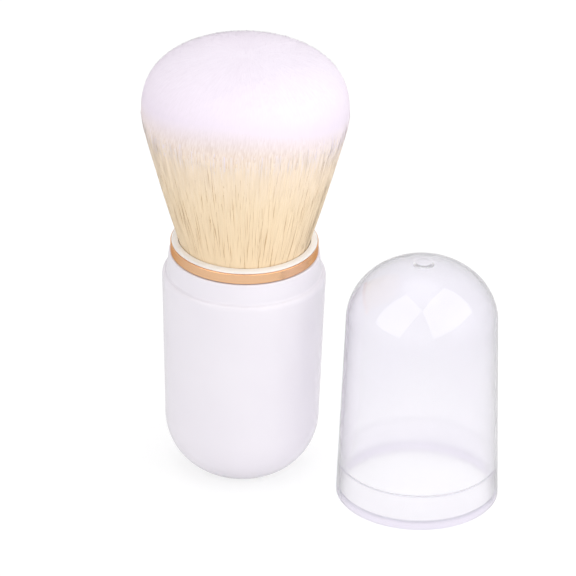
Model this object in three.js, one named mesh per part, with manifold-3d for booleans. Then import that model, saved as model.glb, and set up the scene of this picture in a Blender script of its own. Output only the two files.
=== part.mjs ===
// A retractable powder brush with its cap standing beside it.
// Millimetres, +Z up. The origin is the centre of the casing's flat base. The cap stands to the right
// and a little in front. The brush is shown open: the sleeve is down and the bristles are spread.

import * as THREE from "three";
import { mergeVertices } from "three/addons/utils/BufferGeometryUtils.js";
import Module from "manifold-3d";

const wasm = await Module();
wasm.setup();

// Casing
const casingRadius = 20;
const casingLean = 1.05;
const baseRadius = 10.4;
const footRound = 15.6;
const casingHeight = 53.4;
const shoulderDrop = 1.6;
const shoulderReach = 1;
const casingWall = 1.4;
const floorThickness = 2;

// Neck collar, pressed into the casing's mouth
const neckHeight = 5.2;
const neckStep = 0.15;
const neckTaper = 0.5;
const neckWall = 1.4;
const neckRound = 0.4;
const skirtLength = 7.4;
const skirtGap = 0.1;

// Friction ring in the collar's bore
const frictionSection = 1;
const frictionDepth = 2.4;
const frictionGap = 0.03;
const grooveGap = 0.1;

// Sleeve, which slides up out of the collar
const sleeveWall = 0.6;
const slideGap = 0.15;
const sleeveTravel = 20;
const stopGap = 0.1;
const flangeHeight = 2;
const flangeGap = 0.3;
const headWall = 1.2;
const restGap = 0.2;

// Copper ring and rim on the sleeve's head
const ringHeight = 2.5;
const ringThickness = 0.6;
const ringGap = 0.05;
const ringEdge = 0.15;
const rimRise = 0.8;
const rimInset = 0.3;
const tongueThickness = 0.3;
const tongueDepth = 0.9;
const tongueGap = 0.05;

// Base weight, and the screw that clamps it to the core post
const weightHeight = 5;
const weightGap = 0.3;
const screwRadius = 1.5;
const screwLength = 14;
const screwHeadRadius = 3.1;
const screwHeadHeight = 2.1;
const screwHeadGap = 0.5;
const screwHoleGap = 0.3;
const screwPoint = 1.6;
const pilotGap = 0.1;
const pilotOverrun = 1;

// Core post
const postRadius = 5;
const postFootGap = 0.8;
const postFootHeight = 2;
const postSeatHeight = 1.5;
const webThickness = 1.6;
const webInset = 2.5;
const webCount = 4;
const webOverrun = 0.5;

// Ferrule, and what fills it
const ferruleGap = 0.65;
const ferruleWall = 0.4;
const ferruleHeight = 18.6;
const ferruleSunk = 1.7;
const spigotGap = 0.1;
const glueHeight = 3;
const packHeight = 6.5;
const packSunk = 1.1;
const packGap = 0.15;
const packSlit = 0.2;

// Bristle head
const headRadius = 25.34;
const headWidestRise = 34.6;
const headDomeRise = 16.3;
const headDomePower = 2.74;
const headFlareDrop = 5.6;
const headFlareInset = 1.34;
const strandRings = 9;
const strandRootDepth = 1.5;
const strandRootInset = 1.15;
const strandRootFillShare = 0.8;
const strandFillShare = 0.9;
const strandPointLength = 4;
const strandPointShare = 0.955;

// Cap, which stands clear of the bristles' widest place
const capGap = 0.26;
const capTurn = -17.64;
const capInset = 0.06;
const capLean = 1.43;
const capShoulderHeight = 47.5;
const capDomeRise = 15.8;
const capWall = 0.85;
const capFootRound = 0.4;
const lipGap = 0.2;
const lipHeight = 2.3;
const recessStep = 0.15;
const recessGap = 0.6;
const gateRadius = 2.85;
const gateHeight = 0.3;

// How finely round pieces are faceted
const roundSides = 40;
const smallSides = 20;
const quarterTurn = Math.PI / 2;
const quarters = ["rear_right", "rear_left", "front_left", "front_right"];

// Heights that follow from the sizes above
const wallTop = casingHeight - shoulderDrop;
const neckTop = casingHeight + neckHeight;
const skirtFoot = casingHeight - skirtLength;
const ringFoot = neckTop + restGap;
const ringTop = ringFoot + ringHeight;
const rimTop = ringTop + rimRise;
const flangeTop = skirtFoot - stopGap - sleeveTravel;
const sleeveFoot = flangeTop - flangeHeight;
const ferruleTop = ringTop - ferruleSunk;
const ferruleFoot = ferruleTop - ferruleHeight;
const packTop = ferruleTop - packSunk;
const glueTop = packTop - packHeight;
const spigotTop = glueTop - glueHeight;
const weightTop = floorThickness + weightHeight;
const screwSeat = floorThickness + screwHeadGap + screwHeadHeight;
const recessHeight = rimTop - casingHeight + recessGap;

// Radii that follow from the sizes above
const casingFootRadius = casingRadius - casingLean;
const mouthRadius = casingRadius - shoulderReach;
const neckFootRadius = mouthRadius - neckStep;
const neckTopRadius = neckFootRadius - neckTaper;
const collarBore = neckTopRadius - neckWall;
const sleeveRadius = collarBore - slideGap;
const sleeveBore = sleeveRadius - sleeveWall;
const sleeveHeadRadius = sleeveBore + headWall;
const ringBore = sleeveHeadRadius + ringGap;
const ringRadius = ringBore + ringThickness;
const rimRadius = ringRadius - rimInset;
const ferruleRadius = sleeveBore - ferruleGap;
const ferruleBore = ferruleRadius - ferruleWall;
const spigotRadius = ferruleBore - spigotGap;
const packRadius = ferruleBore - packGap;
const strandRootRadius = packRadius - strandRootInset;
const headFlareRadius = headRadius - headFlareInset;
const capFootRadius = casingRadius - capInset;
const capShoulderRadius = capFootRadius - capLean;
const lipRadius = neckFootRadius + lipGap;
const recessRadius = lipRadius + recessStep;
const capDistance = headRadius + capGap + capFootRadius;

// Centre of the round between the casing's wall and its flat base
const footCentreRadius = casingFootRadius - footRound;
const footCentreHeight = Math.sqrt(footRound ** 2 - (baseRadius - footCentreRadius) ** 2);

const at = (radius, height) => new THREE.Vector2(radius, height);

// Points along an ellipse about (radius, height), from one angle to another
function arc(radius, height, reach, rise, from, to, steps) {
  return Array.from({ length: steps + 1 }, (_, i) => {
    const angle = from + ((to - from) * i) / steps;
    return at(radius + reach * Math.cos(angle), height + rise * Math.sin(angle));
  });
}

// The casing's wall leans out a little from its foot to its top
function wallRadius(height) {
  const share = (height - footCentreHeight) / (wallTop - footCentreHeight);
  return casingFootRadius + (casingRadius - casingFootRadius) * share;
}

const casingBore = (height) => wallRadius(height) - casingWall;

// Points up the casing's foot round, taken in by some distance, between two heights
function footArc(inset, low, high, steps) {
  const round = footRound - inset;
  const from = Math.asin((low - footCentreHeight) / round);
  const to = Math.asin((high - footCentreHeight) / round);
  return arc(footCentreRadius, footCentreHeight, round, round, from, to, steps);
}

// A solid turned about +Z. The outline goes up the outside and down the inside.
function turned(outline, sides = roundSides) {
  const geometry = new THREE.LatheGeometry(outline, sides);
  geometry.rotateX(quarterTurn);
  return geometry;
}

const closed = (outline) => [...outline, outline[0]];

function toSolid(geometry) {
  const bare = geometry.clone();
  bare.deleteAttribute("normal");
  bare.deleteAttribute("uv");
  const merged = mergeVertices(bare);
  const vertProperties = new Float32Array(merged.attributes.position.array);
  const triVerts = new Uint32Array(merged.index.array);
  return new wasm.Manifold(new wasm.Mesh({ numProp: 3, vertProperties, triVerts }));
}

function toGeometry(solid) {
  const mesh = solid.getMesh();
  const geometry = new THREE.BufferGeometry();
  geometry.setAttribute("position", new THREE.BufferAttribute(mesh.vertProperties, 3));
  geometry.setIndex(new THREE.BufferAttribute(mesh.triVerts, 1));
  geometry.computeVertexNormals();
  return geometry;
}

// A cup with a round foot, leaning walls and a rounded shoulder at its mouth
function casing() {
  const shoulder = arc(mouthRadius, wallTop, casingRadius - mouthRadius, shoulderDrop, 0, quarterTurn, 4);
  return turned([
    at(0, 0),
    ...footArc(0, 0, footCentreHeight, 7),
    ...shoulder,
    at(casingBore(casingHeight), casingHeight),
    ...footArc(casingWall, floorThickness, footCentreHeight, 5).reverse(),
    at(0, floorThickness),
  ]);
}

// The neck that the cap grips, with a skirt down inside the casing and a groove for the friction ring
function neckCollar() {
  const grooveTop = neckTop - frictionDepth;
  const grooveFoot = grooveTop - frictionSection - grooveGap - grooveGap;
  const grooveRadius = sleeveRadius + frictionGap + frictionSection + grooveGap;
  const top = arc(neckTopRadius - neckRound, neckTop - neckRound, neckRound, neckRound, 0, quarterTurn, 3);
  return turned(closed([
    at(collarBore, skirtFoot),
    at(casingBore(skirtFoot) - skirtGap, skirtFoot),
    at(casingBore(casingHeight) - skirtGap, casingHeight),
    at(neckFootRadius, casingHeight),
    ...top,
    at(collarBore, neckTop),
    at(collarBore, grooveTop),
    at(grooveRadius, grooveTop),
    at(grooveRadius, grooveFoot),
    at(collarBore, grooveFoot),
  ]));
}

// A rubber ring that rubs on the sleeve, so that the sleeve stays where it is put
function frictionRing() {
  const section = frictionSection / 2;
  const radius = sleeveRadius + frictionGap + section;
  const height = neckTop - frictionDepth - grooveGap - section;
  return turned(arc(radius, height, section, section, 0, 2 * Math.PI, 8));
}

// A thin tube with a stop flange at its foot and a thicker head, grooved for the rim
function sleeveTube() {
  const flangeRadius = casingBore(sleeveFoot) - flangeGap;
  const grooveRadius = sleeveBore + (headWall - tongueThickness) / 2 - tongueGap;
  const grooveWidth = tongueThickness + tongueGap + tongueGap;
  const grooveFoot = ringTop - tongueDepth - tongueGap;
  return turned(closed([
    at(sleeveBore, sleeveFoot),
    at(flangeRadius, sleeveFoot),
    at(flangeRadius, flangeTop),
    at(sleeveRadius, flangeTop),
    at(sleeveRadius, ringFoot),
    at(sleeveHeadRadius, ringFoot),
    at(sleeveHeadRadius, ringTop),
    at(grooveRadius + grooveWidth, ringTop),
    at(grooveRadius + grooveWidth, grooveFoot),
    at(grooveRadius, grooveFoot),
    at(grooveRadius, ringTop),
    at(sleeveBore, ringTop),
  ]));
}

function copperRing() {
  return turned(closed([
    at(ringBore, ringFoot),
    at(ringRadius - ringEdge, ringFoot),
    at(ringRadius, ringFoot + ringEdge),
    at(ringRadius, ringTop - ringEdge),
    at(ringRadius - ringEdge, ringTop),
    at(ringBore, ringTop),
  ]));
}

// A crowned ring over the sleeve's head and the copper ring, held by a tongue in the sleeve
function sleeveRim() {
  const tongueRadius = sleeveBore + (headWall - tongueThickness) / 2;
  return turned(closed([
    at(sleeveBore, ringTop),
    at(tongueRadius, ringTop),
    at(tongueRadius, ringTop - tongueDepth),
    at(tongueRadius + tongueThickness, ringTop - tongueDepth),
    at(tongueRadius + tongueThickness, ringTop),
    ...arc(sleeveBore, ringTop, rimRadius - sleeveBore, rimRise, 0, quarterTurn, 6),
  ]));
}

// A steel disc on the casing's floor, counterbored from below for the screw's head
function baseWeight() {
  const holeRadius = screwRadius + screwHoleGap;
  const counterbore = screwHeadRadius + screwHoleGap;
  return turned(closed([
    at(holeRadius, screwSeat),
    at(counterbore, screwSeat),
    at(counterbore, floorThickness),
    ...footArc(casingWall + weightGap, floorThickness, weightTop, 3),
    at(holeRadius, weightTop),
  ]));
}

function coreScrew() {
  const tip = screwSeat + screwLength;
  return turned([
    at(0, screwSeat - screwHeadHeight),
    at(screwHeadRadius, screwSeat - screwHeadHeight),
    at(screwHeadRadius, screwSeat),
    at(screwRadius, screwSeat),
    at(screwRadius, tip - screwPoint),
    at(0, tip),
  ], smallSides);
}

// A webbed post from the weight up to the ferrule, with a spigot that the ferrule is pressed over
function corePost() {
  const pilotRadius = screwRadius + pilotGap;
  const pilotTop = screwSeat + screwLength + pilotOverrun;
  const footTop = weightTop + postFootHeight;
  const [footEdge] = footArc(casingWall + postFootGap, weightTop, footTop, 1);
  const postFootRadius = footEdge.x;
  const seatFoot = ferruleFoot - postSeatHeight;
  const body = turned([
    at(0, pilotTop),
    at(pilotRadius, pilotTop),
    at(pilotRadius, weightTop),
    at(postFootRadius, weightTop),
    at(postFootRadius, footTop),
    at(postRadius, footTop),
    at(postRadius, seatFoot),
    at(ferruleRadius, seatFoot),
    at(ferruleRadius, ferruleFoot),
    at(spigotRadius, ferruleFoot),
    at(spigotRadius, spigotTop),
    at(0, spigotTop),
  ]);
  const webFoot = footTop - webOverrun;
  const webHeight = seatFoot + webOverrun - webFoot;
  const webStart = postRadius - webThickness;
  const webReach = ferruleRadius - webInset;
  let solid = toSolid(body);
  for (let i = 0; i < webCount; i += 1) {
    const web = new THREE.BoxGeometry(webReach - webStart, webThickness, webHeight);
    web.translate((webReach + webStart) / 2, 0, webFoot + webHeight / 2);
    web.rotateZ((2 * Math.PI * i) / webCount);
    solid = solid.add(toSolid(web));
  }
  return toGeometry(solid);
}

function ferrule() {
  return turned(closed([
    at(ferruleBore, ferruleFoot),
    at(ferruleRadius, ferruleFoot),
    at(ferruleRadius, ferruleTop),
    at(ferruleBore, ferruleTop),
  ]));
}

function gluePlug() {
  return turned([
    at(0, spigotTop),
    at(packRadius, spigotTop),
    at(packRadius, glueTop),
    at(0, glueTop),
  ]);
}

// Height of the head's dome above the bristles' widest place, at a distance from the axis
function domeRise(radius) {
  return headDomeRise * (1 - (radius / headRadius) ** headDomePower) ** (1 / headDomePower);
}

// How far a three-sided strand's corners lie from its centre, where it fills a share of its place in the
// outermost ring at some radius
function strandThickness(radius, share) {
  const pitch = (quarterTurn * radius) / (2 * strandRings - 1);
  return (share * pitch) / Math.sqrt(3);
}

// The cross-sections of one strand: how far from the axis, how high, and how thick. A strand of the
// outermost ring has a share of 1, and the others lie inside it in proportion, so that none cross.
function strandSections(share) {
  const root = strandThickness(strandRootRadius, strandRootFillShare);
  const thick = strandThickness(headFlareRadius, strandFillShare);
  const flat = thick / 2;
  const flare = ringTop + headWidestRise - headFlareDrop;
  const tipRadius = share * headRadius * strandPointShare;
  const tip = ringTop + headWidestRise + domeRise(tipRadius);
  return [
    { out: share * strandRootRadius, up: packTop - strandRootDepth, thick: root },
    { out: share * (headFlareRadius - flat), up: flare, thick },
    { out: share * (headRadius - flat), up: tip - strandPointLength, thick },
    { out: tipRadius, up: tip, thick: 0 },
  ];
}

// Adds one three-sided strand, flat side outwards, to lists of points and triangles
function addStrand(points, triangles, angle, share) {
  const outward = new THREE.Vector3(Math.cos(angle), Math.sin(angle), 0);
  const sideways = new THREE.Vector3(-Math.sin(angle), Math.cos(angle), 0);
  const up = new THREE.Vector3(0, 0, 1);
  const corners = [Math.PI, -Math.PI / 3, Math.PI / 3];
  const sides = corners.length;
  const first = points.length;
  const sections = strandSections(share);
  const tip = sections.pop();
  for (const section of sections) {
    for (const corner of corners) {
      points.push(new THREE.Vector3()
        .addScaledVector(outward, section.out + section.thick * Math.cos(corner))
        .addScaledVector(sideways, section.thick * Math.sin(corner))
        .addScaledVector(up, section.up));
    }
  }
  points.push(new THREE.Vector3().addScaledVector(outward, tip.out).addScaledVector(up, tip.up));
  triangles.push([first, first + 2, first + 1]);
  for (let level = 0; level < sections.length; level += 1) {
    const low = first + level * sides;
    const last = level === sections.length - 1;
    for (let side = 0; side < sides; side += 1) {
      const next = (side + 1) % sides;
      if (last) {
        triangles.push([low + side, low + next, points.length - 1]);
      } else {
        triangles.push([low + side, low + next, low + sides + next]);
        triangles.push([low + side, low + sides + next, low + sides + side]);
      }
    }
  }
}

// A quarter of the bristles: rings of 1, 3, 5 and so on strands, rooted in a quarter of the glued pack
function bristleQuarter(start) {
  const points = [];
  const triangles = [];
  for (let ring = 0; ring < strandRings; ring += 1) {
    const count = 2 * ring + 1;
    const share = count / (2 * strandRings - 1);
    for (let i = 0; i < count; i += 1) {
      addStrand(points, triangles, start + (quarterTurn * (i + 0.5)) / count, share);
    }
  }
  const strands = new THREE.BufferGeometry().setFromPoints(points);
  strands.setIndex(triangles.flat());

  const edge = packSlit / 2;
  const lean = Math.asin(edge / packRadius);
  const outline = new THREE.Shape();
  outline.moveTo(edge, edge);
  outline.lineTo(packRadius * Math.cos(lean), edge);
  outline.absarc(0, 0, packRadius, lean, quarterTurn - lean, false);
  outline.closePath();
  const slice = new THREE.ExtrudeGeometry(outline, {
    depth: packHeight,
    bevelEnabled: false,
    curveSegments: roundSides / quarters.length,
  });
  slice.translate(0, 0, glueTop);
  slice.rotateZ(start);
  return toGeometry(toSolid(slice).add(toSolid(strands)));
}

// A thin dome on a leaning wall, with a lip and a recess that fit over the neck, and a gate mark at the top
function cap() {
  const lean = (capFootRadius - capShoulderRadius) / capShoulderHeight;
  const wallOutside = (height) => capFootRadius - lean * height;
  const inside = (height) => wallOutside(height) - capWall;
  const edgeCentre = wallOutside(capFootRound) - capFootRound;
  const footEdge = arc(edgeCentre, capFootRound, capFootRound, capFootRound, -quarterTurn, 0, 2);
  const outerDome = arc(0, capShoulderHeight, capShoulderRadius, capDomeRise, 0, quarterTurn, 10);
  const topOfDome = capShoulderHeight + capDomeRise;
  const gateSeat = capShoulderHeight + capDomeRise * Math.sqrt(1 - (gateRadius / capShoulderRadius) ** 2);
  const innerDome = arc(
    0, capShoulderHeight, capShoulderRadius - capWall, capDomeRise - capWall, quarterTurn, 0, 8,
  );
  return turned([
    ...innerDome,
    at(inside(recessHeight), recessHeight),
    at(recessRadius, recessHeight),
    at(recessRadius, lipHeight),
    at(lipRadius, lipHeight),
    at(lipRadius, 0),
    ...footEdge,
    ...outerDome.filter((point) => point.x > gateRadius),
    at(gateRadius, gateSeat),
    at(gateRadius, topOfDome + gateHeight),
    at(0, topOfDome + gateHeight),
  ]);
}

const whitePlastic = { color: 0xf1eef4, roughness: 0.22, metalness: 0 };
const innerPlastic = { color: 0xe6e3e0, roughness: 0.5, metalness: 0 };
const copper = { color: 0xe5a878, roughness: 0.25, metalness: 1 };
const steel = { color: 0x9b9ea3, roughness: 0.4, metalness: 1 };
const aluminium = { color: 0xc9cbcf, roughness: 0.35, metalness: 1 };
const rubber = { color: 0x2c2c2e, roughness: 0.8, metalness: 0 };
const glue = { color: 0xd9c79a, roughness: 0.5, metalness: 0 };
const bristle = { color: 0xfbe6c8, roughness: 0.7, metalness: 0 };
const clearPlastic = { color: 0xeeecf6, roughness: 0.12, metalness: 0, transparent: true, opacity: 0.35 };

function piece(name, geometry, finish) {
  const mesh = new THREE.Mesh(geometry, new THREE.MeshStandardMaterial(finish));
  mesh.name = name;
  return mesh;
}

function brushBody() {
  const group = new THREE.Group();
  group.add(piece("casing", casing(), whitePlastic));
  group.add(piece("neck_collar", neckCollar(), whitePlastic));
  group.add(piece("friction_ring", frictionRing(), rubber));
  group.add(piece("base_weight", baseWeight(), steel));
  group.add(piece("core_screw", coreScrew(), steel));
  group.add(piece("core_post", corePost(), innerPlastic));
  group.add(piece("ferrule", ferrule(), aluminium));
  group.add(piece("glue_plug", gluePlug(), glue));
  quarters.forEach((place, i) => {
    group.add(piece(`bristles_${place}`, bristleQuarter(quarterTurn * i), bristle));
  });
  return group;
}

function slidingSleeve() {
  const group = new THREE.Group();
  group.add(piece("sleeve_tube", sleeveTube(), whitePlastic));
  group.add(piece("copper_ring", copperRing(), copper));
  group.add(piece("sleeve_rim", sleeveRim(), whitePlastic));
  return group;
}

function standingCap() {
  const group = new THREE.Group();
  group.add(piece("cap", cap(), clearPlastic));
  const turn = THREE.MathUtils.degToRad(capTurn);
  group.position.set(capDistance * Math.cos(turn), capDistance * Math.sin(turn), 0);
  return group;
}

const brush = new THREE.Group();
brush.add(brushBody(), slidingSleeve(), standingCap());

export default brush;
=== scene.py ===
# A retractable powder brush with its clear cap standing beside it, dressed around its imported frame.

import math

import bpy
import numpy as np
from mathutils import Matrix, Vector


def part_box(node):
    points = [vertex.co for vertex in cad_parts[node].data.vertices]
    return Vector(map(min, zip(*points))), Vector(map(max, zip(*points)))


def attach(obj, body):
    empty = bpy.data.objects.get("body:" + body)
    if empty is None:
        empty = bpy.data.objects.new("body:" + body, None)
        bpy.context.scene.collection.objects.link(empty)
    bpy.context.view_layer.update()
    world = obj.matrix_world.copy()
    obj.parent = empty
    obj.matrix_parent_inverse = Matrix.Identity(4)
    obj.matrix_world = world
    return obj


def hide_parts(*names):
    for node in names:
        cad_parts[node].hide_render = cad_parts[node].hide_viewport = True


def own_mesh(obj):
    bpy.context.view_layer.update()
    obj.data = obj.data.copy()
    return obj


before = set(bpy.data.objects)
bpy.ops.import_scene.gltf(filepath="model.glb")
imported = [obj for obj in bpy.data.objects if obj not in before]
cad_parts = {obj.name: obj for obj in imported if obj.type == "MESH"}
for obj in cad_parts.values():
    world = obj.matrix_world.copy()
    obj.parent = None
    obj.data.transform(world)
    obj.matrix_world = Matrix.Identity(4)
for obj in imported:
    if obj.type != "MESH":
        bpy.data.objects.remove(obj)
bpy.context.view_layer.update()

MM = 0.001
TURN = 2 * math.pi
TINY = 1e-9

# The photograph's frame and the camera that was fitted to it
IMAGE_SIZE = 576
SENSOR_WIDTH = 36
PIXELS_FOCAL = 5921
CAMERA_PLACE = (10.8 * MM, -1270.5 * MM, 740.6 * MM)
CAMERA_DIP = math.radians(28.59)
CAMERA_ROLL = math.radians(1.054)
CAMERA_REACH = 20


def box_of(node):
    """The lowest and highest corners of a node, as arrays in metres."""
    low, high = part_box(node)
    return np.array(low), np.array(high)


# Sizes that come from the frame
_, casing_high = box_of("casing")
collar_low, collar_high = box_of("neck_collar")
tube_low, _ = box_of("sleeve_tube")
ring_low, ring_high = box_of("copper_ring")
_, rim_high = box_of("sleeve_rim")
cap_low, cap_high = box_of("cap")
_, bristle_high = box_of("bristles_rear_right")

CASING_RADIUS, _, CASING_HEIGHT = casing_high
SKIRT_FOOT = collar_low[2]
NECK_TOP = collar_high[2]
SLEEVE_FOOT = tube_low[2]
RING_FOOT = ring_low[2]
RING_RADIUS, _, RING_TOP = ring_high
RIM_TOP = rim_high[2]
CAP_CENTRE = (cap_low + cap_high) / 2
CAP_RADIUS = (cap_high[0] - cap_low[0]) / 2
CAP_TOP = cap_high[2]
HEAD_RADIUS, _, HEAD_TOP = bristle_high

# Steps in the turned shells
SIDES = 192
SLEEVE_SIDES = 160
CAP_SIDES = 720
FOOT_STEPS = 30
FOOT_INSIDE_STEPS = 20
SHOULDER_STEPS = 10
HOLLOW_STEPS = 7
RIM_STEPS = 12
CAP_DOME_STEPS = 26
GATE_STEPS = 9
ROUND_STEPS = 5

# A rounded corner takes up at most this share of the shorter edge beside it, and this share of its radius
# lies between its ends and the points that hold the flats beside it
ROUND_REACH = 0.45
ROUND_HOLD = 0.1
EDGE = 0.12 * MM
FINE_EDGE = 0.05 * MM

# Casing
CASING_LEAN = 1.05 * MM
BASE_RADIUS = 10.4 * MM
BASE_EDGE = 0.03 * MM
FOOT_ROUND = 15.6 * MM
FOOT_CENTRE = CASING_RADIUS - CASING_LEAN - FOOT_ROUND
FOOT_TOP = math.sqrt(FOOT_ROUND ** 2 - (BASE_RADIUS - FOOT_CENTRE) ** 2)
SHOULDER_DROP = 1.6 * MM
SHOULDER_REACH = 1 * MM
WALL_TOP = CASING_HEIGHT - SHOULDER_DROP
MOUTH_RADIUS = CASING_RADIUS - SHOULDER_REACH
CASING_WALL = 1.4 * MM
FLOOR_THICKNESS = 2 * MM

# Neck collar
NECK_FOOT_RADIUS = MOUTH_RADIUS - 0.15 * MM
NECK_TOP_RADIUS = NECK_FOOT_RADIUS - 0.5 * MM
NECK_BORE = NECK_TOP_RADIUS - 1.4 * MM
NECK_ROUND = 0.4 * MM
HOLLOW_LAP = 0.25 * MM
HOLLOW_LIFT = 0.01 * MM
HOLLOW_RISE = 0.7 * MM
SKIRT_GAP = 0.1 * MM

# Sleeve, ring and rim
SLIDE_GAP = 0.15 * MM
SLEEVE_RADIUS = NECK_BORE - SLIDE_GAP
SLEEVE_BORE = SLEEVE_RADIUS - 0.6 * MM
SLEEVE_HEAD = SLEEVE_BORE + 1.2 * MM
FLANGE_TOP = SLEEVE_FOOT + 2 * MM
FLANGE_GAP = 0.3 * MM
RING_BORE = RING_RADIUS - 0.6 * MM
RIM_RADIUS = RING_RADIUS - 0.18 * MM
GROOVE = 0.2 * MM
GROOVE_ANGLE = math.asin(GROOVE / (RIM_TOP - RING_TOP))
RIM_ARC_START = 1.05 * GROOVE_ANGLE
RIM_ARC_END = math.radians(84)

# Cap
CAP_LEAN = 1.43 * MM
CAP_SHOULDER = 47.5 * MM
CAP_WALL = 0.85 * MM
LIP_RADIUS = 19.05 * MM
LIP_HEIGHT = 2.3 * MM
RECESS_RADIUS = LIP_RADIUS + 0.15 * MM
RECESS_HEIGHT = 9.3 * MM
CAP_FOOT_ROUND = 0.4 * MM
GATE_RADIUS = 2.85 * MM
GATE_HEIGHT = 0.3 * MM
GATE_ROUND = 1.0 * MM

# Bristle head: a flare from the root to its widest place, given by heights above the ring and radii, and a
# dome above it. The head leans a little to the left.
FLARE_HEIGHTS = np.array([-3, 0, 5, 10, 15, 20, 25, 29, 32, 34.6]) * MM
FLARE_RADII = np.array([15.0, 15.82, 17.36, 18.85, 20.28, 21.65, 23.0, 24.05, 24.85, 25.25]) * MM
WIDEST = RING_TOP + FLARE_HEIGHTS[-1]
DOME_RISE = HEAD_TOP - WIDEST
DOME_POWER = 2.74
ROOT_FOOT = 58.2 * MM
ROOT_RADIUS = FLARE_RADII[0]
LEAN = 0.3 * MM
TUFT_COUNT = 48
FIRST_SEED = 700
QUARTERS = ("rear_right", "rear_left", "front_left", "front_right")

# Heights worked out on the head's outside: how many on the flare, how many on the dome, and how far up the
# dome's quarter turn they go
LONG_GRID = (40, 80, 0.98)
CORE_GRID = (20, 29, 1)
TIP_GRID = (60, 400)

# Where the bristles turn from cream to lilac white: at the sides, higher in front and behind, and lower on
# the right than on the left. Strands differ, and the tips and the core turn a little higher.
DYE_HEIGHT = RING_TOP + 30.3 * MM
DYE_FRONT_RISE = 4.7 * MM
DYE_SLANT = 1.6 * MM
DYE_SCATTER = 1.8 * MM
TIP_DYE_SCATTER = 1.5 * MM
LATE_DYE = 0.5 * MM

# Shading: the lift of the head's normals, and their share in a strand's at two heights above the ring
NORMAL_LIFT = 0.1
NORMAL_HEIGHTS = (18 * MM, 30 * MM)
NORMAL_SHARES = (0.8, 0.94)

# How far a strand's three sides are turned about its path, from pointing outwards
SPINS = (TURN / 6 - 0.35, TURN / 6 + 0.35)

# Long strands, which lie in a thin layer and sink in at their ends
LONG_STRANDS = 9600
LONG_SECTIONS = 14
SECTION_POWER = 0.75
LAYER_DEPTH = 0.008
LAYER_POWER = 1.4
LONG_INSET = 0.14 * MM
LONG_ENDS = (-10 * MM, 6 * MM)
SINK = 0.4 * MM
SINK_SHARE = 0.14
SINK_TURN = 8 * MM
WANDER = 0.8 * MM
RIPPLE = 0.22 * MM
RIPPLE_TURNS = (0.6, 1.6)
LONG_SIZES = (0.1 * MM, 0.15 * MM)
TAPER_SHARE = 0.08
TAPER_END = 0.15
TAPER_POWER = 0.7
LONG_SHADES = (0.95, 1)

# Streaks: thinner strands on the outside, with a brown stretch that is partly a darker fibre and partly
# painted shade in the gaps between strands. The two shares are those at the sides and those in front and
# behind.
STREAKED_SHARES = (0.01875, 0.08625)
STREAK_INSET = 0.08 * MM
STREAK_SHORTER = 4 * MM
STREAK_THINNER = 0.62
STREAK_HEIGHTS = (RING_TOP + 1 * MM, RING_TOP + 33 * MM)
STREAK_REACH = 1.4 * MM
STREAK_MORE_REACH = 5 * MM
STREAK_DARKNESS_AND_SHADE = (0.45, 0.95)

# Fine tips, which set in on the side and cover the dome
TIP_STRANDS = 24000
TIPS_FOOT = RING_TOP + 14 * MM
TIPS_FADE = 22 * MM
TIPS_REACH = 0.9985
TIP_SIZES = np.array([0.12, 0.11, 0.08, 0.02]) * MM
TIP_SIZE_SHARES = (0.8, 1.2)
TIP_LENGTHS = (6 * MM, 9 * MM)
TIP_DEPTH = 0.012
TIP_INSET = 0.1 * MM
TIP_DROP = 0.4 * MM
TIP_SLOPE = 0.8
TIP_COVER = 0.12 * MM
TIP_WANDER = 0.25 * MM
LEAST_TIP_RADIUS = 0.05 * MM
DIM_TIP_SHARE = 0.16
DIM_TIP_DARKNESS = 0.6
DIM_TIPS_FOOT = WIDEST + 3 * MM
DOME_DULLING = 0.3
SIDE_DULLING = 0.1

# The core under the strands: ridged low down, and smooth from a height on. Low down it is a little darker
# at random in each column, as painted shade of the deeper strands, and it is much darker along its axis
# inside the head
CORE_COLUMNS = 18
RIDGE_INSETS = (0.16 * MM, 0.23 * MM)
RIDGE_SHADES = (0.9, 1)
RIDGE_FADE = 0.25
SEAM_INSET = 0.19 * MM
SMOOTH_FOOT = WIDEST - 15 * MM
SMOOTH_RISE = 11 * MM
SMOOTH_SHADES = (0.5, 1)
CORE_SINK = 0.5 * MM
LEAST_CORE_RADIUS = 0.2 * MM
APEX_SHADE = 0.85
AXIS_SHADE = 0.3

# Bristle colours, and the length in millimetres and the middle of the ramps that hold them
CREAM_DEEP = (1.0, 0.79, 0.53)
CREAM = (1.0, 0.812, 0.57)
CREAM_PALE = (1.0, 0.835, 0.66)
BLUSH = (0.94, 0.83, 0.80)
LILAC_PALE = (0.89, 0.797, 0.91)
LILAC = (0.98, 0.91, 1.0)
# The tan and lilac grey colours are darker fibres, and painted shade in the gaps between strands
TAN_AND_SHADE_DEEP = (0.50, 0.27, 0.09)
TAN_AND_SHADE = (0.52, 0.30, 0.11)
TAN_AND_SHADE_PALE = (0.60, 0.42, 0.30)
LILAC_GREY_AND_SHADE = (0.84, 0.76, 0.84)
LILAC_GREY_AND_SHADE_PALE = (0.80, 0.72, 0.83)
DYE_RAMP_LENGTH = 50
DYE_RAMP_MIDDLE = 0.6
BRISTLE_SURFACE = {
    "Roughness": 0.55,
    "Specular IOR Level": 0.25,
    "Sheen Weight": 0.2,
    "Sheen Tint": (1, 0.93, 1, 1),
    "Sheen Roughness": 0.5,
}
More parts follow.
